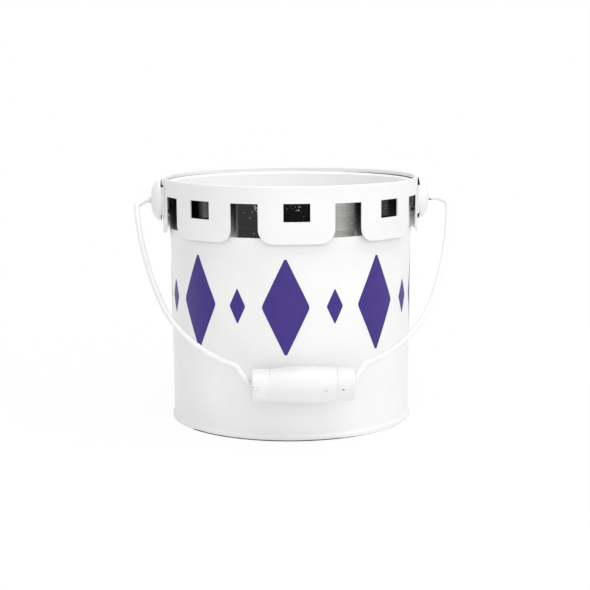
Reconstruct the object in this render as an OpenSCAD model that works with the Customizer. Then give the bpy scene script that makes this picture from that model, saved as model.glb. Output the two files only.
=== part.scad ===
// Painted tin can with a castellated guard collar, domed ears and a swinging bail handle.
// Millimetres. Origin at the centre of the base, on the floor, with +Z up.
// The bail hangs against the front of the can, which is -Y, and its ears are on the X axis.

/* [Can] */
// Outside diameter of the wall, just below the shoulder
body_d = 165; // [150:1:180]
// How much the wall draws in, on the radius, from the shoulder down to the base
body_draw = 0.65; // [0.2:0.05:1.2]
// Thickness of the can's sheet
can_wall = 0.5; // [0.3:0.05:0.7]
// Height of the foot of the shoulder
shoulder_z = 123; // [110:1:126]
// Height of the shoulder itself
shoulder_h = 4.5; // [2:0.5:5]
// How much wider the neck is than the wall, on the radius
neck_step = 0.7; // [0.3:0.1:1.5]
// Height of the rolled rim
rim_h = 163; // [160:1:180]
// Diameter of the rim's roll
curl_d = 3.2; // [2.6:0.1:3.6]
// Width of the welded side seam
side_seam_w = 5; // [3:0.5:10]
// How far the side seam stands proud
side_seam_t = 0.35; // [0.2:0.05:0.45]
// Angle of the side seam, from the front towards the right
side_seam_angle = 205; // [150:5:240]

/* [Base] */
// Height of the rolled seam round the base
seam_h = 2.7; // [2.3:0.1:4.5]
// How far the seam stands proud of the wall
seam_proud = 1.1; // [0.8:0.1:2]
// Thickness of the bottom's sheet
end_t = 0.45; // [0.3:0.05:0.6]
// Height of the bottom panel
panel_z = 5; // [4:0.5:9]
// Radius of the middle of the panel's raised ring
ring_r = 56; // [40:1:62]
// Width of the raised ring
ring_w = 16; // [8:1:20]
// Height of the raised ring
ring_h = 1.2; // [0.6:0.1:2]
// Depth of the sealing compound in the seam
compound_t = 0.4; // [0.2:0.05:0.8]

/* [Collar] */
// Gap between the neck and the collar
collar_gap = 3.3; // [3:0.1:4.5]
// Thickness of the collar's sheet
collar_t = 1; // [0.7:0.1:1.4]
// Height of the folded hem at the top of the collar
hem_h = 3.6; // [3:0.1:6]
// Depth of the collar, from the top of its hem to the foot of its tabs
collar_h = 36.9; // [35:0.5:42]
// Number of tabs round the collar
tabs = 8; // [4:4:8]
// Width of the gap between two tabs
gap_w = 18.8; // [12:0.2:24]
// Length of a tab below the top of the gap
tab_h = 25.6; // [20:0.5:26]
// Radius of a tab's lower corners
tab_r = 9.5; // [4:0.5:12]
// Width of the window in a tab
window_w = 17; // [10:0.2:20]
// Height of the window
window_h = 11.6; // [8:0.2:12]
// Distance from the top of the collar to the top of a window
window_drop = 11; // [10.8:0.1:13]
// Overlap of the collar's two ends past the middle of their tab, in degrees
lap_angle = 8; // [6.5:0.5:12]
// Thickness of the outer end where it laps
lap_t = 0.8; // [0.4:0.1:1.2]

/* [Ears] */
// Diameter of an ear's dome
ear_d = 28.4; // [27:0.1:32]
// How far an ear stands out from the collar
ear_out = 7.9; // [6.5:0.1:10]
// Diameter of the flat at the tip of the dome
ear_flat_d = 8; // [6:0.5:10]
// Radius of the dome's round, from the flat down to the skirt
ear_round = 12.5; // [11.5:0.5:16]
// Thickness of the ear's sheet
ear_t = 1; // [0.7:0.1:1.3]
// Distance from the top of the collar down to the pivot
ear_drop = 15.7; // [15.2:0.1:18]
// Width of the slit above and below the dome
slit_w = 1; // [0.6:0.1:1.5]
// Height of the skirts that join the dome to the collar
skirt_h = 18.8; // [12:0.2:22]
// Length of the weld flange beyond a skirt
flange_w = 4; // [2:0.5:8]
// Play of the wire in the ear's hole, on the radius
ear_play = 0.1; // [0.05:0.01:0.3]

/* [Rivets] */
// Diameter of a rivet's shank
rivet_d = 2.4; // [1.8:0.1:2.6]
// Diameter of a rivet's heads
rivet_head_d = 4; // [3.6:0.1:4.2]
// Height of a rivet's heads
rivet_head_h = 0.9; // [0.6:0.1:1.2]
// Outside diameter of the spacers between neck and collar
spacer_d = 4.4; // [4:0.1:4.6]

/* [Bail] */
// Diameter of the wire
wire_d = 3.8; // [2.8:0.1:4]
// Distance from the pivot to the middle of the grip
bail_reach = 145.3; // [135:0.5:160]
// How far the bail has slid to the right in its ears
bail_slide = 1.9; // [0:0.1:2]
// Straight end of the wire outside an ear
pin_out = 3.4; // [1:0.2:6]
// Radius of the tight bends at the ears, on the middle of the wire
corner_r = 5.5; // [4:0.5:8]
// Straight between the two bends at an ear
corner_run = 3.3; // [1.5:0.1:5]
// Heading of the wire between those bends, off the pivot axis
corner_slope = 30; // [15:1:40]
// Lean of the sides at the top, off square to the pivot axis
side_lean = 5.5; // [4:0.5:10]
// Further lean that the sides gain on the way to the bow
side_curve = 15; // [12:0.5:18]
// Heading of the wire at the shoulder beside the grip
shoulder_slope = 25; // [18:1:32]
// Heading of the wire in the step down to the grip
step_slope = 59; // [45:1:70]
// Radius of the bends in that step, on the middle of the wire
step_r = 6.5; // [5:0.5:9]
// Straight between the bends of the step
step_run = 10.5; // [6:0.5:14]
// Straight between the step and the bow
shoulder_run = 2.5; // [1:0.5:6]
// Shortest straight that the bending tool leaves between two bends
short_run = 1; // [0.7:0.1:3]
// Diameter of the upset heads that hold the wire in its ears
pin_head_d = 6; // [5:0.5:8]
// Thickness of an upset head
pin_head_t = 1.5; // [1:0.1:2]
// Room for an upset head to slide inside its ear
pin_room = 3; // [2.6:0.1:3.4]

/* [Grip] */
// Length of the grip
grip_l = 66; // [56:1:76]
// Diameter of the grip's swell
grip_mid_d = 24; // [22.5:0.5:28]
// Diameter of the grip's end bands
grip_end_d = 21.2; // [16:0.2:22]
// Length of an end band
grip_band_l = 11.5; // [6:0.5:18]
// Depth of the step from an end band down to the swell
grip_step = 0.4; // [0.2:0.1:1]
// Rounding of the grip's ends
grip_round = 1.6; // [0.5:0.1:2.5]
// Rounding of an end band where it steps down to the swell
grip_groove_r = 0.6; // [0.3:0.1:1.5]
// Depth of the hollow in each end
grip_hollow_l = 5.5; // [3:0.5:6.5]
// Allowance past the wire's width at the mouth of a hollow, which the curve of its bend takes up
grip_hollow_gap = 0.5; // [0.3:0.1:1]
// Play of the grip on the wire, on the radius
grip_play = 0.1; // [0.05:0.01:0.4]
// Room for the grip to slide before the wire's bends meet the floors of its hollows
grip_room = 1.5; // [0.5:0.5:4]
// How much of that room is left on the right, where the grip has slid to
grip_room_left = 0.4; // [0.3:0.1:0.5]
// Gap between the resting grip and the wall
rest_gap = 0.4; // [0.3:0.1:1]

/* [Hidden] */
$fn = 96;

// Gap between sheets that are pressed, welded or riveted together
sheet_fit = 0.05;
// Gap between the hem and the roll that it sits on
seat_gap = 0.1;
// How much bending thins the wire, on the radius, and how far a bend reaches into its straights
bend_thin = 0.02;
bend_tuck = 0.3;
// The tab's width is a whole number of these, as a punch is ground
punch_step = 0.02;
// Reach of a cutting shape past what it cuts
past = 2;
// Colours, as the paint and the bare tin show
paint = [0.93, 0.93, 0.94];
tin = [0.66, 0.67, 0.68];
compound_grey = [0.35, 0.36, 0.38];

// Can
body_r = body_d / 2;
base_r = body_r - body_draw;
neck_r = body_r + neck_step;
neck_in = neck_r - can_wall;
curl_r = curl_d / 2;
curl_x = neck_in + curl_r;
curl_z = rim_h - curl_r;
wall_z = end_t + compound_t + sheet_fit;

// Base seam
hook_in = base_r + sheet_fit;
hook_out = base_r + seam_proud;
chuck_out = base_r - can_wall - sheet_fit;

// Collar
collar_in = neck_r + collar_gap;
collar_r = collar_in + collar_t;
hem_in = collar_in - collar_t;
hem_z = curl_z + sqrt(pow(curl_r, 2) - pow(hem_in - curl_x, 2)) + seat_gap;
collar_top = hem_z + hem_h;
tab_z = collar_top - collar_h;
window_top = collar_top - window_drop;
window_z = window_top - window_h;
pitch = 360 / tabs;
tab_w = punch_step * round(2 * collar_r * sin(pitch / 2 - asin(gap_w / 2 / collar_r)) / punch_step);
lap_tab = 3 * pitch;

// Ears
ear_r = ear_d / 2;
ear_z = collar_top - ear_drop;
ear_edge = collar_r + slit_w;
ear_tip = collar_r + ear_out;

// Rivets: one above the window and one below it, in each ear, seated on the wall as it is there
rivet_zs = [(window_top + rim_h - curl_d) / 2, window_z - spacer_d / 2 - sheet_fit];
rivet_out = collar_r + sheet_fit;
function shoulder_draw(z) = neck_step * min(1, max(0, (shoulder_z + shoulder_h - z) / shoulder_h));
function rivet_in(z) =
    sqrt(pow(neck_in - shoulder_draw(z - rivet_head_d / 2), 2) - pow(rivet_head_d / 2, 2)) - sheet_fit;

// Bail and grip: the bail leans until the grip lies on the wall
grip_r = grip_mid_d / 2;
lean = asin((body_r + grip_r + rest_gap) / bail_reach);
grip_y = -bail_reach * sin(lean);
grip_z = ear_z - bail_reach * cos(lean);
pin_x = ear_tip + pin_out;
pin_head_x = ear_tip - ear_t - pin_room - pin_head_t;
pin_end_x = pin_head_x + pin_head_t / 2;
grip_run = grip_l / 2 - grip_hollow_l + grip_room;
grip_x = bail_slide + grip_room - grip_room_left;

// The wire's bend at the mouth of the grip's right hollow: its run, lean and rise, and the mouth's radius
mouth_run = grip_hollow_l - grip_room_left;
mouth_lean = asin(min(sin(step_slope), mouth_run / step_r));
mouth_rise = step_r * (1 - cos(mouth_lean)) + (mouth_run - step_r * sin(mouth_lean)) * tan(mouth_lean);
mouth_r = mouth_rise + wire_d / 2 / cos(mouth_lean) + grip_hollow_gap;

// Headings of the wire from the middle of the grip to the ear, 0 along the pivot axis
bow_heading = 90 - side_lean - side_curve;
side_heading = 90 - side_lean;
corner_heading = 180 - corner_slope;

// The wire bender's list for half the bail: a straight, a bend's radius and the heading after it
function bail_steps(bow, side) = [
    [grip_run, step_r, step_slope],
    [step_run, step_r, shoulder_slope],
    [shoulder_run, bow, bow_heading],
    [short_run, side, side_heading],
    [short_run, corner_r, corner_heading],
    [corner_run, corner_r, 180],
    [pin_x - pin_end_x, 0, 180]
];

// Travel along and across the pivot axis, in a bend between two headings and over a whole list
function bend(r, from, to) = sign(to - from) * r * [sin(to) - sin(from), cos(from) - cos(to)];
function travel(steps, i = 0, heading = 0) =
    i == len(steps) ? [0, 0] :
    steps[i][0] * [cos(heading), sin(heading)] + bend(steps[i][1], heading, steps[i][2])
    + travel(steps, i + 1, steps[i][2]);

// The radii of the bow and the sides that bring the wire to the pivot, from two linear equations
bow_unit = bend(1, shoulder_slope, bow_heading);
side_unit = bend(1, bow_heading, side_heading);
still_to_go = [pin_end_x, bail_reach] - travel(bail_steps(0, 0));
bow_r = cross(still_to_go, side_unit) / cross(bow_unit, side_unit);
side_r = cross(bow_unit, still_to_go) / cross(bow_unit, side_unit);

// A flat bar in a profile, with round ends of its own half thickness
module round_bar(x, y, w, h) {
    translate([x, y + w / 2]) square([w, h - w]);
    for (end = [w / 2, h - w / 2])
        translate([x + w / 2, y + end]) circle(d = w);
}

// Turns a shape drawn in width and height to face out from the can, at an angle from the front
module radial_prism(angle, from, to) {
    rotate([0, 0, angle])
        rotate([90, 0, 0])
            translate([0, 0, from])
                linear_extrude(to - from)
                    children();
}

// Lays a shape that is drawn along Z along +X, the way of the pivot axis
module out_along_x() {
    rotate([0, 90, 0]) children();
}

// The can's wall from the base seam to the neck, and the roll of its rim
module wall_profile() {
    outside = [[base_r, wall_z], [base_r, seam_h], [body_r, shoulder_z],
               [neck_r, shoulder_z + shoulder_h], [neck_r, curl_z]];
    inside = [for (i = [len(outside) - 1:-1:0]) outside[i] - [can_wall, 0]];
    polygon(concat(outside, inside));
    roll_open = [185, 262];
    translate([curl_x, curl_z])
        difference() {
            circle(r = curl_r);
            circle(r = curl_r - can_wall);
            polygon([[0, 0], for (a = roll_open) curl_d * [cos(a), sin(a)]]);
        }
}

module rivet_holes() {
    for (z = rivet_zs)
        translate([-collar_r - past, 0, z])
            out_along_x() cylinder(d = rivet_d + 2 * sheet_fit, h = 2 * (collar_r + past));
}

module can_body() {
    seam_angle = side_seam_w / body_r * 180 / PI;
    color(paint)
        difference() {
            union() {
                rotate_extrude() wall_profile();
                rotate([0, 0, side_seam_angle - 90 - seam_angle / 2])
                    rotate_extrude(angle = seam_angle)
                        polygon([[base_r - can_wall / 2, seam_h], [base_r + side_seam_t, seam_h + sheet_fit],
                                 [body_r + side_seam_t, shoulder_z - can_wall],
                                 [body_r - can_wall / 2, shoulder_z]]);
            }
            rivet_holes();
        }
}

module can_bottom() {
    ring_out = ring_r + ring_w / 2;
    ring_in = ring_r - ring_w / 2;
    top = [[chuck_out, panel_z], [ring_out + ring_h, panel_z], [ring_out, panel_z + ring_h],
           [ring_in, panel_z + ring_h], [ring_in - ring_h, panel_z], [0, panel_z]];
    under = [for (i = [len(top) - 1:-1:0]) top[i] - [0, end_t]];
    color(paint)
        rotate_extrude() {
            polygon(concat(top, under));
            translate([chuck_out - end_t, 0]) square([end_t, panel_z]);
            translate([chuck_out - end_t, 0]) square([hook_out - chuck_out + end_t - seam_proud / 2, end_t]);
            round_bar(hook_in, 0, hook_out - hook_in, seam_h);
        }
}

module bottom_seam_compound() {
    color(compound_grey)
        rotate_extrude()
            translate([chuck_out, end_t]) square([hook_in - chuck_out, compound_t]);
}

// Outline of a tab, with its round lower corners, up into the band above the gaps
module tab_outline() {
    translate([-tab_w / 2, tab_z + tab_r]) square([tab_w, tab_h - tab_r + past]);
    translate([tab_r - tab_w / 2, tab_z]) square([tab_w - 2 * tab_r, tab_h]);
    for (side = [-1, 1])
        translate([side * (tab_w / 2 - tab_r), tab_z + tab_r]) circle(r = tab_r);
}

module tab_window() {
    translate([-window_w / 2, window_z]) square([window_w, window_h]);
}

// The collar's sheet before its tabs are cut, with its edge folded in and down to sit on the roll
module collar_profile() {
    fold_z = collar_top - collar_t;
    translate([collar_in, tab_z - past]) square([collar_t, fold_z - tab_z + past]);
    translate([hem_in, hem_z]) square([collar_t, fold_z - hem_z]);
    intersection() {
        translate([collar_in, fold_z]) circle(r = collar_t);
        translate([hem_in, fold_z]) square([2 * collar_t, collar_t]);
    }
}

module collar_band() {
    inside = hem_in - past;
    outside = collar_r + lap_t + past;
    color(paint)
        difference() {
            intersection() {
                union() {
                    rotate_extrude() collar_profile();
                    // The outer end of the sheet, lapped over the inner end on one tab
                    rotate([0, 0, lap_tab - pitch / 2 - 90])
                        rotate_extrude(angle = pitch / 2 + lap_angle)
                            translate([collar_in + collar_t / 2, tab_z - past])
                                square([collar_t / 2 + lap_t, collar_h - 2 * collar_t + past]);
                }
                union() {
                    translate([0, 0, tab_z + tab_h]) cylinder(r = outside, h = collar_h - tab_h + past);
                    for (i = [0:tabs - 1])
                        radial_prism(i * pitch, inside, outside) tab_outline();
                }
            }
            for (i = [0:tabs - 1])
                radial_prism(i * pitch, inside, outside) tab_window();
            rivet_holes();
        }
}

// Section of the ear from its axis out: the flat, the round, and the skirt that runs in to the collar
module ear_profile(thin) {
    skirt_from = collar_r * cos(asin(ear_r / collar_r)) - past;
    translate([0, skirt_from]) square([ear_flat_d / 2, ear_tip - thin - skirt_from]);
    intersection() {
        translate([ear_flat_d / 2, ear_tip - ear_round]) circle(r = ear_round - thin);
        translate([0, skirt_from]) square([ear_r - thin, ear_tip - skirt_from]);
    }
}

// The ear on the +X side
module ear() {
    flange_from = asin((ear_r - ear_t) / collar_r);
    flange_angle = (flange_w + ear_t) / collar_r * 180 / PI;
    color(paint)
        difference() {
            union() {
                translate([0, 0, ear_z])
                    out_along_x()
                        rotate_extrude()
                            difference() {
                                ear_profile(0);
                                ear_profile(ear_t);
                            }
                for (side = [0, 1])
                    mirror([0, side, 0])
                        rotate([0, 0, flange_from])
                            rotate_extrude(angle = flange_angle)
                                translate([collar_r, ear_z - skirt_h / 2]) square([ear_t, skirt_h]);
            }
            // The collar that the ear is welded to
            translate([0, 0, ear_z - ear_d]) cylinder(r = collar_r + sheet_fit, h = 2 * ear_d);
            // The slits above and below
            for (z = [ear_z - skirt_h / 2 - ear_d, ear_z + skirt_h / 2])
                translate([ear_edge - ear_d, -ear_d, z]) cube([ear_d, 2 * ear_d, ear_d]);
            // The hole for the wire
            translate([collar_r, 0, ear_z])
                out_along_x() cylinder(d = wire_d + 2 * ear_play, h = ear_out + past);
        }
}

module right_ear() {
    ear();
}

module left_ear() {
    mirror([1, 0, 0]) ear();
}

// A low round rivet head, rising from its base
module rivet_head() {
    ball_r = (pow(rivet_head_d / 2, 2) + pow(rivet_head_h, 2)) / (2 * rivet_head_h);
    intersection() {
        translate([0, 0, rivet_head_h - ball_r]) sphere(r = ball_r);
        cylinder(d = rivet_head_d + past, h = rivet_head_h + past);
    }
}

// The rivets behind the +X ear, from the inside of the neck to the outside of the collar
module rivets() {
    color(tin)
        for (z = rivet_zs)
            translate([rivet_in(z), 0, z])
                out_along_x() {
                    cylinder(d = rivet_d, h = rivet_out - rivet_in(z));
                    rotate([180, 0, 0]) rivet_head();
                    translate([0, 0, rivet_out - rivet_in(z)]) rivet_head();
                }
}

module right_rivets() {
    rivets();
}

module left_rivets() {
    mirror([1, 0, 0]) rivets();
}

// The tubes on the +X side that hold the collar off the neck
module spacers() {
    color(tin)
        for (z = rivet_zs)
            intersection() {
                translate([0, 0, z])
                    out_along_x()
                        difference() {
                            cylinder(d = spacer_d, h = collar_r);
                            cylinder(d = rivet_d + 2 * sheet_fit, h = collar_r);
                        }
                translate([0, 0, z - spacer_d])
                    difference() {
                        cylinder(r = collar_in - sheet_fit, h = 2 * spacer_d);
                        cylinder(r = neck_r - shoulder_draw(z + spacer_d / 2) + sheet_fit, h = 2 * spacer_d);
                    }
            }
}

module right_spacers() {
    spacers();
}

module left_spacers() {
    mirror([1, 0, 0]) spacers();
}

// One bend of the wire, starting along +X and turning to the left for a positive turn.
// The stretched wire is a little thinner than the straights, and reaches into them.
module wire_bend(radius, turn) {
    tuck = bend_tuck / radius * 180 / PI;
    mirror([0, turn < 0 ? 1 : 0, 0])
        translate([0, radius, 0])
            rotate([0, 0, -90 - tuck])
                rotate_extrude(angle = abs(turn) + 2 * tuck)
                    translate([radius, 0]) circle(d = wire_d - 2 * bend_thin);
}

// Runs the wire bender's list from one step on
module bent_wire(steps, i = 0, heading = 0) {
    if (i < len(steps)) {
        run = steps[i][0];
        radius = steps[i][1];
        turn = steps[i][2] - heading;
        out_along_x() cylinder(d = wire_d, h = run);
        translate([run, 0, 0]) {
            if (turn != 0)
                wire_bend(radius, turn);
            translate([radius * sin(abs(turn)), sign(turn) * radius * (1 - cos(turn)), 0])
                rotate([0, 0, turn])
                    bent_wire(steps, i + 1, steps[i][2]);
        }
    }
}

module half_bail() {
    bent_wire(bail_steps(bow_r, side_r));
    translate([pin_head_x, bail_reach, 0])
        out_along_x() cylinder(d = pin_head_d, h = pin_head_t);
}

module bail_wire() {
    color(paint)
        translate([bail_slide, grip_y, grip_z])
            rotate([90 - lean, 0, 0]) {
                half_bail();
                mirror([1, 0, 0]) half_bail();
            }
}

// Half section of an end band of the grip, from the swell out
module grip_band() {
    band_r = grip_end_d / 2;
    square([band_r - grip_round, grip_band_l]);
    square([band_r - grip_groove_r, grip_band_l - grip_round]);
    translate([0, grip_groove_r]) square([band_r, grip_band_l - grip_round - grip_groove_r]);
    translate([band_r - grip_groove_r, grip_groove_r]) circle(r = grip_groove_r);
    translate([band_r - grip_round, grip_band_l - grip_round]) circle(r = grip_round);
}

// Half section of the grip, out from its axis
module grip_profile() {
    swell_l = grip_l - 2 * grip_band_l;
    swell_end_r = grip_end_d / 2 - grip_step;
    swell_rise = grip_r - swell_end_r;
    swell_r = (pow(swell_l / 2, 2) + pow(swell_rise, 2)) / (2 * swell_rise);
    difference() {
        union() {
            intersection() {
                translate([grip_r - swell_r, 0]) circle(r = swell_r);
                translate([0, -swell_l / 2 - grip_groove_r]) square([grip_r, swell_l + 2 * grip_groove_r]);
            }
            for (side = [0, 1])
                mirror([0, side])
                    translate([0, swell_l / 2]) grip_band();
        }
        translate([0, -grip_l]) square([wire_d / 2 + grip_play, 2 * grip_l]);
        for (end = [grip_l / 2 - grip_hollow_l, -grip_l / 2 - past])
            translate([0, end]) square([mouth_r, grip_hollow_l + past]);
    }
}

module grip() {
    color(paint)
        translate([grip_x, grip_y, grip_z])
            out_along_x() rotate_extrude() grip_profile();
}

can_body();
can_bottom();
bottom_seam_compound();
collar_band();
left_ear();
right_ear();
left_rivets();
right_rivets();
left_spacers();
right_spacers();
bail_wire();
grip();
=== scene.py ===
"""Looks of a white-painted tin can with a castellated collar, domed ears and a swinging bail.

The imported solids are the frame. This script gives each of them its finish, adds the paint that lies
on the wall, and sets the floor, the light and the camera. Lengths are in metres and angles in degrees.
"""

import bpy
import numpy as np
from mathutils import Matrix, Vector


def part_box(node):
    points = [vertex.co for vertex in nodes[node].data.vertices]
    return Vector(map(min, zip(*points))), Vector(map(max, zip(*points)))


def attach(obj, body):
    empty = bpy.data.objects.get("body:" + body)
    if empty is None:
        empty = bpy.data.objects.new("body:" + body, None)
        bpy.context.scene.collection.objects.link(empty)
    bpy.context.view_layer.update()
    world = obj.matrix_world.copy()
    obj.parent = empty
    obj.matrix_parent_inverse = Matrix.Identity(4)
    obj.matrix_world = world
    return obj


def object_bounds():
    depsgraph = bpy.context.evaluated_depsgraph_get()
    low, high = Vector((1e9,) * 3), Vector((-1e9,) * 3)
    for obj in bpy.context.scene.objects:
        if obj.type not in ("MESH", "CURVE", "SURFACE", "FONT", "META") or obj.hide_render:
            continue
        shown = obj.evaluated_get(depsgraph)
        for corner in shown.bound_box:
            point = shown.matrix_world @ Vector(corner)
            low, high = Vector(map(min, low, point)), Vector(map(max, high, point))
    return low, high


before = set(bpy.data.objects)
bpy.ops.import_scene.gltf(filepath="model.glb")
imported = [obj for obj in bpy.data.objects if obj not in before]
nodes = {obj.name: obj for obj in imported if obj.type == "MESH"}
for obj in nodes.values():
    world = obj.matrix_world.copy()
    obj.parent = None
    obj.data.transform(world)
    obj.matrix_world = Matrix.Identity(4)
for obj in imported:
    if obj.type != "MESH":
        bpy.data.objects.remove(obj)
cad_low, cad_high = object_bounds()

MM = 0.001

# Places on the part, read from the frame
collar_low, collar_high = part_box("collar_band")
body_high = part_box("can_body")[1]
base_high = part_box("can_bottom")[1]
ear_low, ear_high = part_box("right_ear")
grip_low, grip_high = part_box("grip")
PART_MIDDLE = (cad_low + cad_high) / 2
TAB_FOOT = collar_low.z
RIM_TOP = body_high.z
SEAM_RADIUS = base_high.x
EAR_MIDDLE = (ear_low.z + ear_high.z) / 2
GRIP_MIDDLE = (grip_low + grip_high) / 2

# The wall is a slow cone from the base seam up to the shoulder
BASE_RADIUS = 81.85 * MM
SHOULDER_RADIUS = 82.5 * MM
SEAM_TOP = 2.7 * MM
SHOULDER_FOOT = 123 * MM

# The white coat on the neck ends above the foot of the tabs, along an edge that wanders and is a little
# soft, and it starts again on the rolled rim
BARE_FROM = TAB_FOOT + 3.4 * MM
BARE_WANDER = 0.8 * MM
BARE_SOFT = 0.2 * MM
BARE_TO = RIM_TOP - 2.6 * MM
RIM_SOFT = 0.3 * MM

# Painted reflections on the neck, which stand in for the lamps and the tabs seen in its shine: bright
# patches of steel, and paler strips of the white coat behind the collar. Each stretch starts, is full, is
# full no longer and ends at these degrees from the front to the right, with this share
PAINTED_REFLECTION_PLACES = [(14, 16, 19, 30, 1), (68, 74, 84, 90, 0.8)]
PAINTED_REFLECTION_STRIPS = [
    (-46.2, -45.4, -44, -41, 0.11),
    (-36, -34, -31, -26, 0.42),
    (-27.4, -27, -26.6, -26.2, 0.05),
    (26.5, 27.5, 32, 35, 0.14),
    (47, 49, 54, 58, 0.14),
    (64, 68, 112, 124, 0.75),
]
# The strips of painted reflection are strongest at the foot of the neck, and thin out up to here
REFLECTION_STRIPS_TOP = 152 * MM
# Painted dark reflection: the neck is darkest this many degrees to both sides of the front, fading over a
# few more
DARK_FRONT_TO = 9
DARK_FRONT_FADE = 3
# Upright streaks on the neck begin this far in front of the pivot, and are full this far behind it
STREAKS_FADE = 20 * MM
# Spots on the neck where paint has spattered
SPRAYED_SPOTS = [(1 * MM, -83 * MM, 152.5 * MM), (-26 * MM, -79 * MM, 151 * MM)]
SPRAYED_REACH = 6 * MM

# Painted contact shadow darkens the foot up to here, in stretches of the same form as above
FOOT_SHADOW_HEIGHT = 0.88 * MM
FOOT_SHADOW_WANDER = 0.5 * MM
FOOT_SHADOW_SOFT = 0.1 * MM
FOOT_SHADOW_PLACES = [
    (-58, -53, 10, 50, 1),
    (47, 52, 54, 60, 0.45),
    (95, 115, 170, 179, 0.8),
    (-150, -135, -110, -85, 0.7),
]
# From this radius in, over a soft edge, the base is the can's inside or its underside
FOOT_INNER = BASE_RADIUS - 0.6 * MM
FOOT_SOFT = 0.6 * MM

# A line of painted shade in the crevice where the collar's hem sits on the rim: where it starts, is full
# and ends, how far its end wanders and fades, and how much higher that end lies towards the ears
LINE_FROM = RIM_TOP - 2 * MM
LINE_FULL = RIM_TOP - 1 * MM
LINE_TO = RIM_TOP - 0.25 * MM
LINE_WANDER = 0.5 * MM
LINE_SOFT = 0.35 * MM
LINE_RISE = 0.7 * MM
LINE_RISE_FROM = 30 * MM
LINE_RISE_TO = 80 * MM
# The line is faint on the left and full on the right, and changes over this far to both sides of the middle
LINE_FADE = 40 * MM

# A ring of painted shade round each ear's hole, where the wire goes in
HOLE_SHADE_RING = 2.5 * MM
HOLE_SHADE_WANDER = 1.2 * MM
HOLE_SHADE_SOFT = 0.1 * MM
# Spots of painted shade under the wire's ends, where they go into the ears
WIRE_SHADE_SPOTS = [(side * (ear_high.x + 0.8 * MM), 0, EAR_MIDDLE - 1.6 * MM) for side in (-1, 1)]
WIRE_SHADE_REACH = 4 * MM
# Spots on the grip where knocks have chipped its coat, from its middle
CHIPPED_SPOTS = [
    (-30 * MM, -10.3 * MM, -1.2 * MM),
    (14 * MM, -11.3 * MM, -2.5 * MM),
    (25 * MM, -10.4 * MM, -1.5 * MM),
]
CHIPPED_REACH = 5 * MM

# A normal times the way out from the axis, where a surface starts to face in and where it faces in fully
INWARD_FROM = -20 * MM
INWARD_FULL = -60 * MM
# The same for an ear's normal and the way out from its root, which starts at 0
EAR_INNER_FULL = -0.3 * MM
# Rays that find how an edge is eased
EDGE_SAMPLES = 6

# White paint: its darkest tone, the noise at which that tone starts to lighten and how fast it does, the
# share of the height that is fine dimples, and how much rougher handling makes it
DARKEST_TONE = 0.93
TONES_FROM = 0.35
TONES_GAIN = 1.6
DIMPLE_SHARE = 0.25
DULLED = 0.1

# Colours, linear
WHITE_COAT = (0.87, 0.87, 0.865)
WALL_WHITE = (0.89, 0.89, 0.885)
# The inside's white is paler than the wall's, partly as painted light that brightens the inside
INSIDE_WHITE_AND_LIGHT = (0.95, 0.95, 0.945)
GRIP_WHITE = (0.82, 0.82, 0.815)
# Dark grey for painted shade: the neck's dark reflection, the ears' hollows and holes, and the foot
PAINTED_SHADE_STEEL = (0.036, 0.036, 0.035)
# Pale steel for painted reflections on the neck, and for its upright streaks
PAINTED_SHEEN_AND_STREAK_STEEL = (0.44, 0.44, 0.43)
BRIGHT_STEEL = (0.42, 0.42, 0.41)
# Dark grey for chips and nicks, and for painted shade in the collar's crevice and under the wire's ends
CHIP_AND_SHADE_DARK = (0.11, 0.105, 0.10)
PURPLE = (0.042, 0.019, 0.205)
COMPOUND_GREY = (0.12, 0.125, 0.13)
FLOOR_PALE = (0.9, 0.9, 0.9)
LIGHT_WHITE = (1, 1, 1)

# The pattern of lozenges painted on the wall, which starts and ends at the welded side seam
SIDE_SEAM = 205
LOZENGES = 8
LOZENGE_WIDTH = 31 * MM
LOZENGE_HEIGHT = 64 * MM
LOZENGE_MIDDLE = 88 * MM
SMALL_SHARE = 0.36
# Shares of a lozenge's half height: where its tips are cut off, where its straight sides would meet, and
# how far its side corners are eased
TIP_CUT = 0.97
TIP_MEET = 1.02
CORNER_EASE = 0.03
# Paint stands this far out from the metal, and reaches this far into it
COAT_PROUD = 0.09 * MM
COAT_SUNK = 0.2 * MM

# Paint fills the groove above the base seam, from its widest place up to the wall, where it ends in a thin
# edge. It reaches further into the seam than into the wall
FILLET_FOOT = 1.9 * MM
FILLET_TOP = 4.6 * MM
FILLET_EDGE = COAT_PROUD / 4
FILLET_FOOT_SUNK = 3 * COAT_SUNK

# Soft lamps: the place of each, its width and its power in watts
LAMPS = {
    "key": ((0.95, -0.95, 1.0), 1.5, 3.6),
    "top": ((0.25, -0.25, 1.5), 1.2, 10),
    "front": ((0.1, -1.6, 0.6), 1.4, 5),
}
# Light from all round, where a strength of 1 is white
SURROUND_LEVEL = 0.69
# The floor reaches far out. It keeps this share of its shadow near the can, and none past the far distance
FLOOR_REACH = 6
FLOOR_CORNERS = 96
KEPT_SHADOW = 0.06
SHADOW_NEAR = 0.12
SHADOW_FAR = 0.45

# Camera, fitted to the edges of the can in the photo's frame of 590 pixels square
PHOTO_PX = 590
FOCAL_PX = 1436.7
SENSOR = 36
AIM = Vector((0, 0, 83.06 * MM))
EYE_DISTANCE = 1.0014
EYE_PITCH = 9.169
EYE_AZIMUTH = -2.89
EYE_ROLL = 0.2685
EYE_SHIFT_RIGHT = 3.0 * MM


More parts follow.
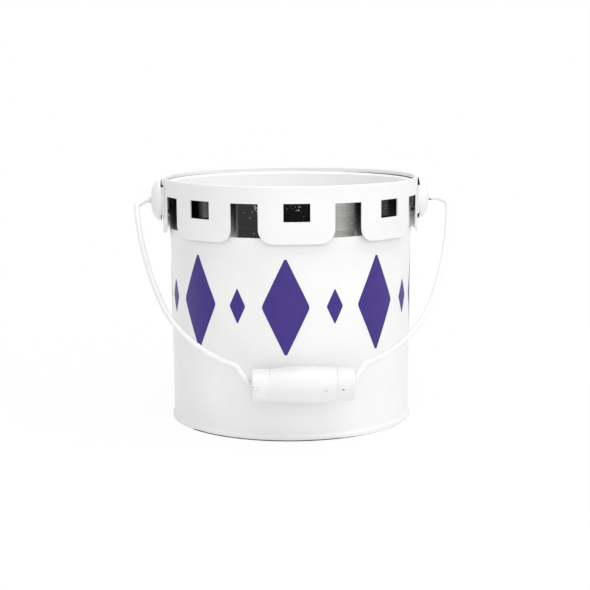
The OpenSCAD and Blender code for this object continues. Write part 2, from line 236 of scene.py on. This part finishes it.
class Field:
    """One output in a node tree. Python's operators on it add Math nodes."""

    def __init__(self, finish, socket):
        self.finish = finish
        self.socket = socket

    def math(self, operation, *others):
        sockets = dict(enumerate((self, *others)))
        return self.finish.node("ShaderNodeMath", {"operation": operation}, sockets)

    def __add__(self, other):
        return self.math("ADD", other)

    def __radd__(self, other):
        return self.math("ADD", other)

    def __sub__(self, other):
        return self.math("SUBTRACT", other)

    def __rsub__(self, other):
        return (self * -1).math("ADD", other)

    def __mul__(self, other):
        return self.math("MULTIPLY", other)

    def __rmul__(self, other):
        return self.math("MULTIPLY", other)

    def __abs__(self):
        return self.math("ABSOLUTE")

    def larger(self, other):
        return self.math("MAXIMUM", other)

    def smaller(self, other):
        return self.math("MINIMUM", other)

    def rise(self, low, high):
        """0 below low, 1 above high, and smooth between them; it falls instead if high is the lower."""
        settings = {"interpolation_type": "SMOOTHSTEP"}
        sockets = {"Value": self, "From Min": low, "From Max": high}
        return self.finish.node("ShaderNodeMapRange", settings, sockets)

    def above(self, level, soft):
        """0 up to a level, and 1 past the soft edge above it."""
        return self.rise(level, level + soft)

    def output(self, name):
        return Field(self.finish, self.socket.node.outputs[name])


class Finish:
    """A node tree of a material or of the world, filled by expressions."""

    def __init__(self, owner):
        owner.use_nodes = True
        self.owner = owner
        self.tree = owner.node_tree
        self.tree.nodes.clear()

    def node(self, kind, settings=None, sockets=None):
        """Adds a node, sets its settings, then its sockets, and gives its first output as a Field."""
        made = self.tree.nodes.new(kind)
        for name, value in (settings or {}).items():
            setattr(made, name, value)
        for name, value in (sockets or {}).items():
            socket = made.inputs[name]
            if isinstance(value, Field):
                self.tree.links.new(value.socket, socket)
            elif socket.type == "RGBA":
                socket.default_value = (*value, 1)
            else:
                socket.default_value = value
        return Field(self, made.outputs[0]) if made.outputs else made

    def place(self):
        """The point on the object, and its three parts."""
        point = self.node("ShaderNodeTexCoord").output("Object")
        parts = self.node("ShaderNodeSeparateXYZ", None, {"Vector": point})
        return point, parts.output("X"), parts.output("Y"), parts.output("Z")

    def noise(self, point, scale, detail=2.0, roughness=0.5):
        """Cloudy noise around a half, with features of about one over the scale, in metres."""
        sockets = {"Vector": point, "Scale": scale, "Detail": detail, "Roughness": roughness}
        return self.node("ShaderNodeTexNoise", None, sockets)

    def grain(self, point, scales, detail):
        """Noise that is drawn out: it has its own scale along each axis."""
        drawn_out = self.node("ShaderNodeMapping", None, {"Vector": point, "Scale": scales})
        return self.noise(drawn_out, 1, detail)

    def blend(self, factor, first, second):
        """A colour that goes from the first to the second as the factor goes from 0 to 1."""
        mixed = self.node("ShaderNodeMix", {"data_type": "RGBA"}, {0: factor, 6: first, 7: second})
        return mixed.output(2)

    def vector(self, operation, *vectors):
        return self.node("ShaderNodeVectorMath", {"operation": operation}, dict(enumerate(vectors)))

    def facing(self, way):
        """How much the surface faces a way: the length of its outward normal along that vector."""
        normal = self.node("ShaderNodeNewGeometry").output("Normal")
        return self.vector("DOT_PRODUCT", normal, way).output("Value")

    def inward(self, x, y):
        """1 where the surface faces the can's axis, and 0 where it faces out."""
        outward = self.node("ShaderNodeCombineXYZ", None, {"X": x, "Y": y})
        return self.facing(outward).rise(INWARD_FROM, INWARD_FULL)

    def places(self, turn, stretches):
        """The share of each stretch of angles where the turn is within it, and 0 elsewhere."""
        total = 0
        for *angles, share in stretches:
            start, full, last, end = np.radians(angles)
            total = turn.rise(start, full) * turn.rise(end, last) * share + total
        return total

    def near(self, point, spots, reach):
        """1 at each of some spots, falling to 0 at a reach from it."""
        nearness = 0
        for spot in spots:
            offset = self.vector("SUBTRACT", point, tuple(spot))
            nearness = self.vector("LENGTH", offset).output("Value").rise(reach, 0) + nearness
        return nearness

    def bump(self, height, depth, edge):
        """A normal from a height between 0 and 1, depth metres deep, over edges eased by a small radius."""
        eased = self.node("ShaderNodeBevel", {"samples": EDGE_SAMPLES}, {"Radius": edge})
        return self.node("ShaderNodeBump", None, {"Height": height, "Distance": depth, "Normal": eased})

    def surface(self, **sockets):
        """Ends the tree with the main shader; socket names are written with _ for their spaces."""
        named = {name.replace("_", " "): value for name, value in sockets.items()}
        shader = self.node("ShaderNodeBsdfPrincipled", None, named)
        self.node("ShaderNodeOutputMaterial", None, {"Surface": shader})
        return self.owner


def new_finish(name):
    return Finish(bpy.data.materials.new(name))


def shade(colour, share):
    """A colour made darker or lighter by one share."""
    return tuple(share * channel for channel in colour)


def turn_of(x, y):
    """The angle of a place from the can's front to its right, in radians."""
    return x.math("ARCTAN2", y * -1)


def distance_of(across, up):
    """The length of a vector from its two parts."""
    return (across * across + up * up).math("SQRT")


def stray(noise, wander):
    """How far an edge strays from its place: noise around a half, to both sides of it."""
    return (noise - 0.5) * wander


def coat(finish, point, white):
    """White paint's colour and height: slow changes of tone, and the fine dimples that spraying leaves."""
    tones = finish.noise(point, scale=28, detail=3)
    colour = finish.blend((tones - TONES_FROM) * TONES_GAIN, shade(white, DARKEST_TONE), white)
    dimples = finish.noise(point, scale=620, detail=2)
    waves = finish.noise(point, scale=45, detail=1)
    return colour, dimples * DIMPLE_SHARE + waves * (1 - DIMPLE_SHARE)


def handled(finish, point, roughness, scale=240):
    """A coat's roughness: its own, and more in the patches that handling has dulled."""
    return roughness + finish.noise(point, scale=scale, detail=3) * DULLED


def neck_steel(finish, point, y, turn):
    """Steel with level brush marks, dark as painted dark reflection and darkest at the front, and lightened
    in places by painted reflections and by upright streaks.

    Gives its colour, its brush marks and the share of painted reflection and streaks.
    """
    brushed = finish.grain(point, scales=(70, 70, 2600), detail=3)
    streaks = finish.grain(point, scales=(95, 95, 4), detail=1).above(level=0.5, soft=0.22)
    streaks = streaks * y.rise(-STREAKS_FADE, STREAKS_FADE) * 0.5
    # Bright patches of painted reflection, and upright streaks at the back
    painted_light_and_streaks = finish.places(turn, PAINTED_REFLECTION_PLACES).larger(streaks)
    # Painted dark reflection, darkest at the front of the neck
    painted_dark_front = abs(turn).rise(np.radians(DARK_FRONT_TO + DARK_FRONT_FADE), np.radians(DARK_FRONT_TO))
    steel = finish.blend(brushed, shade(PAINTED_SHADE_STEEL, 0.6), shade(PAINTED_SHADE_STEEL, 1.4))
    steel = finish.blend(painted_dark_front, steel, shade(PAINTED_SHADE_STEEL, 0.2))
    steel = finish.blend(painted_light_and_streaks * (0.35 + brushed * 1.1), steel, PAINTED_SHEEN_AND_STREAK_STEEL)
    return steel, brushed, painted_light_and_streaks


def can_finish():
    """White outside and in, paler inside partly as painted light; bare steel round the outside of the neck,
    where the coat stops unevenly.

    Specks of the coat lie on the steel, and paler strips of the coat on it are painted reflections.
    """
    finish = new_finish("can_coat")
    point, x, y, z = finish.place()
    turn = turn_of(x, y)
    outside, height = coat(finish, point, WALL_WHITE)
    inside = finish.inward(x, y)
    white = finish.blend(inside, outside, INSIDE_WHITE_AND_LIGHT)
    edge = z + stray(finish.noise(point, scale=190, detail=4, roughness=0.6), BARE_WANDER)
    bare = (1 - inside) * edge.rise(BARE_FROM - BARE_SOFT, BARE_FROM + BARE_SOFT)
    bare = bare * z.rise(BARE_TO + RIM_SOFT, BARE_TO)
    sprayed = finish.near(point, SPRAYED_SPOTS, SPRAYED_REACH)
    spatter = finish.noise(point, scale=780, detail=2, roughness=0.6)
    specks = (spatter + sprayed * 0.12).above(level=0.7, soft=0.03)
    # Paler strips of the white coat on the neck, as painted reflections of the tabs
    painted_reflection_strips = finish.places(turn, PAINTED_REFLECTION_STRIPS) * (0.5 + z.rise(REFLECTION_STRIPS_TOP, BARE_FROM))
    bare = bare * (1 - specks * 0.7) * (1 - painted_reflection_strips.smaller(1))
    steel, brushed, painted_light_and_streaks = neck_steel(finish, point, y, turn)
    polish = 0.2 - brushed * 0.14 - painted_light_and_streaks * 0.1
    return finish.surface(
        Base_Color=finish.blend(bare, white, steel),
        Metallic=bare,
        Roughness=handled(finish, point, 0.25, scale=260) - bare * polish,
        Normal=finish.bump(height + bare * brushed * 0.2, depth=0.05 * MM, edge=0.15 * MM),
    )


def collar_finish():
    """The white coat, with a line of painted shade in the crevice where the hem sits on the can's rim.

    The line is thin at the front and the back, and wider towards the ears, most on the right.
    """
    finish = new_finish("collar_coat")
    point, x, y, z = finish.place()
    colour, height = coat(finish, point, WHITE_COAT)
    raised = abs(x).rise(LINE_RISE_FROM, LINE_RISE_TO) * LINE_RISE
    edge = LINE_TO + raised + stray(finish.noise(point, scale=150, detail=3), LINE_WANDER)
    # Painted shade in the crevice where the hem sits on the rim
    crevice_shade = finish.inward(x, y) * (edge - z).rise(-LINE_SOFT, 0) * z.rise(LINE_FROM, LINE_FULL)
    crevice_shade = crevice_shade * (0.4 + x.rise(-LINE_FADE, LINE_FADE) * 0.6)
    return finish.surface(
        Base_Color=finish.blend(crevice_shade, colour, CHIP_AND_SHADE_DARK),
        Roughness=handled(finish, point, 0.3) + crevice_shade * 0.2,
        Normal=finish.bump(height, depth=0.05 * MM, edge=0.3 * MM),
    )


def ear_finish(name, side):
    """The white coat outside an ear, painted shade inside it, and a ring of painted shade round the wire's
    hole.
    """
    finish = new_finish(name)
    point, _, y, z = finish.place()
    colour, height = coat(finish, point, WHITE_COAT)
    root = (side * collar_high.x, 0, EAR_MIDDLE)
    # Painted shade inside the hollow ear, and in a ring round its hole
    inner_shade = finish.facing(finish.vector("SUBTRACT", point, root)).rise(0, EAR_INNER_FULL)
    radius = distance_of(y, z - EAR_MIDDLE)
    edge = radius + stray(finish.noise(point, scale=700, detail=2), HOLE_SHADE_WANDER)
    painted_light_and_streaks = edge.rise(HOLE_SHADE_RING + HOLE_SHADE_SOFT, HOLE_SHADE_RING - HOLE_SHADE_SOFT)
    return finish.surface(
        Base_Color=finish.blend(inner_shade.larger(painted_light_and_streaks), colour, PAINTED_SHADE_STEEL),
        Roughness=handled(finish, point, 0.3) + inner_shade * 0.2,
        Normal=finish.bump(height - painted_light_and_streaks * 0.5, depth=0.05 * MM, edge=0.3 * MM),
    )


def wire_finish():
    """Brushed-on white, thicker in places along the wire, with dark nicks, and painted shade under the wire
    beside the ears.
    """
    finish = new_finish("wire_coat")
    point, *_ = finish.place()
    colour, height = coat(finish, point, WHITE_COAT)
    lumps = finish.noise(point, scale=210, detail=2)
    # Painted shade under the wire beside the ears, with the random nicks
    wire_shade = finish.near(point, WIRE_SHADE_SPOTS, WIRE_SHADE_REACH)
    pits = finish.noise(point, scale=430, detail=3, roughness=0.6)
    nicks_and_shade = (pits + wire_shade * 0.37).above(level=0.75, soft=0.02)
    return finish.surface(
        Base_Color=finish.blend(nicks_and_shade, colour, CHIP_AND_SHADE_DARK),
        Roughness=0.32 + lumps * 0.12,
        Normal=finish.bump(lumps * 0.8 + height * 0.2 - nicks_and_shade * 0.5, depth=0.14 * MM, edge=0.1 * MM),
    )


def grip_finish():
    """Thick white over a turned grip, with small dark chips where it has been knocked."""
    finish = new_finish("grip_coat")
    point, *_ = finish.place()
    colour, height = coat(finish, point, GRIP_WHITE)
    pits = finish.noise(point, scale=1000, detail=2, roughness=0.6)
    knocked = finish.near(point, [GRIP_MIDDLE + Vector(spot) for spot in CHIPPED_SPOTS], CHIPPED_REACH)
    chips = (pits + knocked * 0.2).above(level=0.77, soft=0.02)
    return finish.surface(
        Base_Color=finish.blend(chips, colour, CHIP_AND_SHADE_DARK),
        Roughness=0.36 + pits * 0.12,
        Normal=finish.bump(height - chips * 0.6, depth=0.1 * MM, edge=0.3 * MM),
    )


def base_finish():
    """White over the seam and inside, with painted shadow in places along the foot, and bare tin under the
    base.
    """
    finish = new_finish("base_coat")
    point, x, y, z = finish.place()
    outside, height = coat(finish, point, WALL_WHITE)
    inside = distance_of(x, y).rise(FOOT_INNER, FOOT_INNER - FOOT_SOFT)
    white = finish.blend(inside, outside, INSIDE_WHITE_AND_LIGHT)
    under = inside * finish.facing((0, 0, -1)).above(level=0.2, soft=0.3)
    # Painted contact shadow along the foot, in stretches
    edge = z + stray(finish.noise(point, scale=160, detail=3), FOOT_SHADOW_WANDER)
    foot_shadow_share = finish.places(turn_of(x, y), FOOT_SHADOW_PLACES)
    foot_shadow = (foot_shadow_share * FOOT_SHADOW_HEIGHT - edge).rise(-FOOT_SHADOW_SOFT, FOOT_SHADOW_SOFT) * foot_shadow_share.above(level=0, soft=0.2)
    foot_shadow = foot_shadow * (1 - inside)
    grain = finish.grain(point, scales=(30, 900, 30), detail=3)
    tin = finish.blend(grain, shade(BRIGHT_STEEL, 0.8), BRIGHT_STEEL)
    return finish.surface(
        Base_Color=finish.blend(foot_shadow, finish.blend(under, white, tin), PAINTED_SHADE_STEEL),
        Metallic=under,
        Roughness=0.3 - under * 0.04 + foot_shadow * 0.2 + grain * 0.06,
        Normal=finish.bump(height, depth=0.05 * MM, edge=0.15 * MM),
    )


def fillet_finish():
    """White coat, thick enough to lie smooth."""
    finish = new_finish("seam_coat")
    point, *_ = finish.place()
    colour, height = coat(finish, point, WALL_WHITE)
    return finish.surface(
        Base_Color=colour,
        Roughness=handled(finish, point, 0.28),
        Normal=finish.bump(height, depth=0.05 * MM, edge=0.1 * MM),
    )


def rivet_finish():
    """Turned steel with fine rings of tool marks."""
    finish = new_finish("rivet_steel")
    point, *_ = finish.place()
    marks = finish.grain(point, scales=(4000, 500, 500), detail=2)
    return finish.surface(
        Base_Color=finish.blend(marks, shade(BRIGHT_STEEL, 0.75), BRIGHT_STEEL),
        Metallic=1.0,
        Roughness=0.25 + marks * 0.15,
        Normal=finish.bump(marks, depth=0.01 * MM, edge=0.1 * MM),
    )


def compound_finish():
    """Rubbery grey sealing compound."""
    finish = new_finish("compound")
    point, *_ = finish.place()
    grit = finish.noise(point, scale=900, detail=3)
    return finish.surface(
        Base_Color=finish.blend(grit, shade(COMPOUND_GREY, 0.8), COMPOUND_GREY),
        Roughness=0.7 + grit * 0.1,
        Normal=finish.bump(grit, depth=0.03 * MM, edge=0.05 * MM),
    )


def purple_finish():
    """Purple paint, rolled on thinly, a little darker where it is thicker."""
    finish = new_finish("purple_coat")
    point, *_ = finish.place()
    cloud = finish.noise(point, scale=120, detail=4)
    stipple = finish.noise(point, scale=1100, detail=2)
    return finish.surface(
        Base_Color=finish.blend(cloud, shade(PURPLE, 0.75), shade(PURPLE, 1.25)),
        Roughness=0.38 + stipple * 0.12,
        Specular_IOR_Level=0.35,
        Normal=finish.bump(stipple, depth=0.025 * MM, edge=0.03 * MM),
    )


def put_finish(piece, material):
    piece.data.materials.clear()
    piece.data.materials.append(material)


def new_object(name, data):
    made = bpy.data.objects.new(name, data)
    bpy.context.scene.collection.objects.link(made)
    return made


def mesh_object(name, points, faces, material):
    """A new object with a finish, whose place is in its mesh."""
    mesh = bpy.data.meshes.new(name)
    mesh.from_pydata(points.reshape(-1, 3).tolist(), [], faces)
    mesh.update()
    made = new_object(name, mesh)
    put_finish(made, material)
    return made


def mesh_piece(name, points, faces, material, body):
    """A new piece whose place is in its mesh, riding on a body, with the finish it is given."""
    piece = mesh_object(name, points, faces, material)
    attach(piece, body)
    return piece


def wall_radius(height):
    """Radius of the wall at a height: a straight line from the base seam to the shoulder."""
    share = (height - SEAM_TOP) / (SHOULDER_FOOT - SEAM_TOP)
    return BASE_RADIUS + (SHOULDER_RADIUS - BASE_RADIUS) * share


def even_turns(count, start=0):
    """Turns at even steps all the way round, in radians, from a start in degrees."""
    return np.radians(start + np.arange(count) * 360 / count)


def round_the_can(reach, turn, level):
    """Points at a reach from the can's axis, a turn in radians from its front to its right, and a level."""
    across = reach * np.sin(turn)
    along = -reach * np.cos(turn)
    return np.stack(np.broadcast_arrays(across, along, level), -1)


def grid_quads(rows, columns, rows_meet):
    """Quads of a grid of points whose last column meets the first, as its last row may do too."""
    last = rows if rows_meet else rows - 1
    row, column = np.meshgrid(np.arange(last), np.arange(columns), indexing="ij")
    here = row * columns
    ahead = (row + 1) % rows * columns
    after = (column + 1) % columns
    return np.stack([here + column, here + after, ahead + after, ahead + column], -1).reshape(-1, 4)


def lozenge_row(name, start, share, material, across=16, along=40):
    """A row of thin lozenges of paint all the way round the wall, each this share of the full size.

    Each ring goes round the paint at one level: out along its face, and back along its underside in the
    wall. The half width falls off evenly from the middle to a blunt tip at both ends. The side corners are
    eased, because a brush doesn't leave a point.
    """
    middles = even_turns(LOZENGES, start)[:, None, None]
    rise = np.linspace(-TIP_CUT, TIP_CUT, along)
    level = LOZENGE_MIDDLE + rise * LOZENGE_HEIGHT * share / 2
    half = LOZENGE_WIDTH * share / 2 * (TIP_MEET - np.sqrt(rise ** 2 + CORNER_EASE ** 2))
    side = np.linspace(-1, 1, across)
    sides = np.concatenate([side, side[::-1]])
    depth = np.repeat([COAT_PROUD, -COAT_SUNK], across)
    ground = wall_radius(level)[:, None]
    turn = middles + half[:, None] * sides / ground
    points = round_the_can(ground + depth, turn, level[:, None])
    ring = 2 * across
    first = np.arange(LOZENGES)[:, None, None] * (along * ring)
    quads = first + grid_quads(along, ring, rows_meet=False)
    foot = np.arange(ring)[::-1]
    top = (along - 1) * ring + np.arange(ring)
    ends = first + np.stack([foot, top])
    faces = quads.reshape(-1, 4).tolist() + ends.reshape(-1, ring).tolist()
    mesh_piece(name, points, faces, material, "can")


def seam_fillet(material, steps=14, around=360):
    """The paint that fills the groove above the base seam, as a profile carried round the can's axis.

    The profile goes down from the wall to the seam's widest place along half a cosine wave, and back up
    inside the metal, so that the ring is closed.
    """
    share = np.linspace(0, 1, steps)
    level = FILLET_TOP + (FILLET_FOOT - FILLET_TOP) * share
    wall = wall_radius(FILLET_TOP) + FILLET_EDGE
    reach = wall + (SEAM_RADIUS - wall) * (1 - np.cos(np.pi * share)) / 2
    sunk = reach[[-1, 0]] - [FILLET_FOOT_SUNK, COAT_SUNK]
    profile_reach = np.concatenate([reach, sunk])
    profile_level = np.concatenate([level, level[[-1, 0]]])
    points = round_the_can(profile_reach, even_turns(around)[:, None], profile_level)
    quads = grid_quads(around, len(profile_level), rows_meet=True)
    fillet = mesh_piece("seam_fillet", points, quads.tolist(), material, "can")
    fillet.data.shade_smooth()


def area_light(name, place, width, power):
    """A square soft light at a place, turned towards the middle of the part's box."""
    light = bpy.data.lights.new(name, "AREA")
    light.size = width
    light.energy = power
    lamp = new_object(name, light)
    lamp.location = place
    lamp.rotation_euler = (PART_MIDDLE - Vector(place)).to_track_quat("-Z", "Y").to_euler()


def seen_white(finish):
    """1 for the rays that show the background: straight to the camera, in a gloss, or through glass."""
    path = finish.node("ShaderNodeLightPath")
    seen = path.output("Is Camera Ray").larger(path.output("Is Glossy Ray"))
    return seen.larger(path.output("Is Transmission Ray"))


def set_world():
    """An even pale surround that lights at a plain level and is seen as white."""
    world = bpy.data.worlds.new("studio")
    bpy.context.scene.world = world
    finish = Finish(world)
    strength = SURROUND_LEVEL + seen_white(finish) * (1 - SURROUND_LEVEL)
    surround = finish.node("ShaderNodeBackground", None, {"Color": LIGHT_WHITE, "Strength": strength})
    finish.node("ShaderNodeOutputWorld", None, {"Surface": surround})


def floor_finish():
    """Pale and matt in the light that it gives back, and seen as white but for the shadow it keeps."""
    finish = new_finish("floor_white")
    _, x, y, _ = finish.place()
    matt = finish.node("ShaderNodeBsdfDiffuse", None, {"Color": FLOOR_PALE})
    glow = finish.node("ShaderNodeEmission", None, {"Color": LIGHT_WHITE, "Strength": 1.0})
    white = (1 - KEPT_SHADOW) + distance_of(x, y).rise(SHADOW_NEAR, SHADOW_FAR) * KEPT_SHADOW
    mixed = finish.node("ShaderNodeMixShader", None, {0: seen_white(finish) * white, 1: matt, 2: glow})
    finish.node("ShaderNodeOutputMaterial", None, {"Surface": mixed})
    return finish.owner


def make_floor():
    """A round floor under the can, as one flat face."""
    rim = round_the_can(FLOOR_REACH, even_turns(FLOOR_CORNERS), 0)
    floor = mesh_object("floor", rim, [range(FLOOR_CORNERS)], floor_finish())


def set_camera():
    """A camera that looks down at the can along the photo's line of sight, with its slight roll."""
    data = bpy.data.cameras.new("camera")
    data.sensor_width = SENSOR
    data.lens = SENSOR * FOCAL_PX / PHOTO_PX
    camera = new_object("camera", data)
    pitch, azimuth, roll = np.radians([EYE_PITCH, -EYE_AZIMUTH, EYE_ROLL])
    ahead = Vector((np.sin(azimuth) * np.cos(pitch), np.cos(azimuth) * np.cos(pitch), -np.sin(pitch)))
    level_right = Vector((np.cos(azimuth), -np.sin(azimuth), 0))
    level_up = level_right.cross(ahead)
    right = level_right * np.cos(roll) - level_up * np.sin(roll)
    up = level_up * np.cos(roll) + level_right * np.sin(roll)
    eye = AIM - ahead * EYE_DISTANCE + right * EYE_SHIFT_RIGHT
    turned = Matrix((right, up, -ahead)).transposed().to_4x4()
    camera.matrix_world = Matrix.Translation(eye) @ turned
    bpy.context.scene.camera = camera


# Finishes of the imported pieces
rivet_steel = rivet_finish()
finishes = {
    "can_body": can_finish(),
    "can_bottom": base_finish(),
    "bottom_seam_compound": compound_finish(),
    "collar_band": collar_finish(),
    "left_ear": ear_finish("left_ear_coat", -1),
    "right_ear": ear_finish("right_ear_coat", 1),
    "left_rivets": rivet_steel,
    "right_rivets": rivet_steel,
    "left_spacers": rivet_steel,
    "right_spacers": rivet_steel,
    "bail_wire": wire_finish(),
    "grip": grip_finish(),
}
for node_name, finish_made in finishes.items():
    put_finish(nodes[node_name], finish_made)

# Paint on the wall
purple = purple_finish()
step = 360 / LOZENGES
first_lozenge = SIDE_SEAM + step / 3
lozenge_row("large_lozenges", first_lozenge, 1, purple)
lozenge_row("small_lozenges", first_lozenge + step / 2, SMALL_SHARE, purple)
seam_fillet(fillet_finish())

# Floor, light and camera
make_floor()
set_world()
for lamp_name, (lamp_place, lamp_width, lamp_power) in LAMPS.items():
    area_light(lamp_name, lamp_place, lamp_width, lamp_power)
set_camera()
bpy.context.scene.view_settings.view_transform = "Standard"
